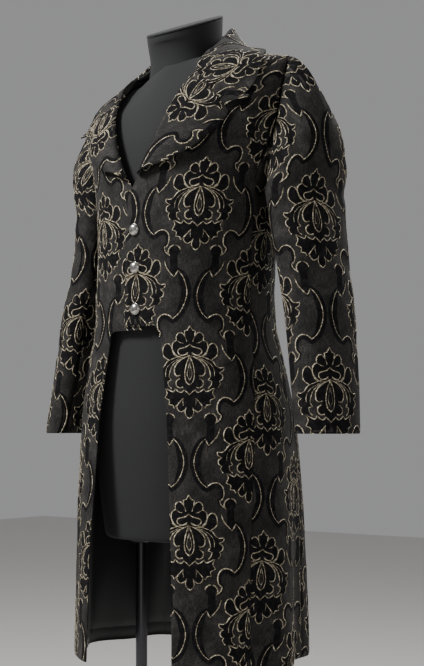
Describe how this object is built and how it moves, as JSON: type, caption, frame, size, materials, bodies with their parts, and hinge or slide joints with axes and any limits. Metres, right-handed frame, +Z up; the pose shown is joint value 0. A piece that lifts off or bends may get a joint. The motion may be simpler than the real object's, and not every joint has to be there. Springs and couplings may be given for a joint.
{
  "type": "cutaway tailcoat on a dress form stand",
  "caption": "Long cutaway tailcoat in black and gold figured brocade with wide lapels, worn buttoned on a limbless dress form on a pole stand.",
  "frame": {"origin": "centre of the round base's underside, on the floor below the middle of the neck", "axes": "+Z up, the wearer faces -Y, +X to the wearer's left"},
  "size_m": [0.661, 0.3952, 1.5884],
  "materials": {
    "charcoal_brocade": "woven",
    "black_lining": "satin",
    "form_cover": "matte",
    "pole_steel": "brushed",
    "button_metal": "polished"
  },
  "bodies": {
    "root": {"front_left": "charcoal_brocade", "side_left": "charcoal_brocade", "back_left": "charcoal_brocade", "top_sleeve_left": "charcoal_brocade", "under_sleeve_left": "charcoal_brocade", "lapel_left": "charcoal_brocade", "tail_lining_left": "black_lining", "front_right": "charcoal_brocade", "side_right": "charcoal_brocade", "back_right": "charcoal_brocade", "top_sleeve_right": "charcoal_brocade", "under_sleeve_right": "charcoal_brocade", "lapel_right": "charcoal_brocade", "tail_lining_right": "black_lining", "collar_leaf": "charcoal_brocade", "collar_stand": "black_lining", "button_1": "button_metal", "button_2": "button_metal", "button_3": "button_metal", "dress_form": "form_cover", "neck_lid": "form_cover", "pole_head": "pole_steel", "pole": "pole_steel", "pole_foot": "pole_steel", "base_plate": "pole_steel"}
  },
  "joints": []
}
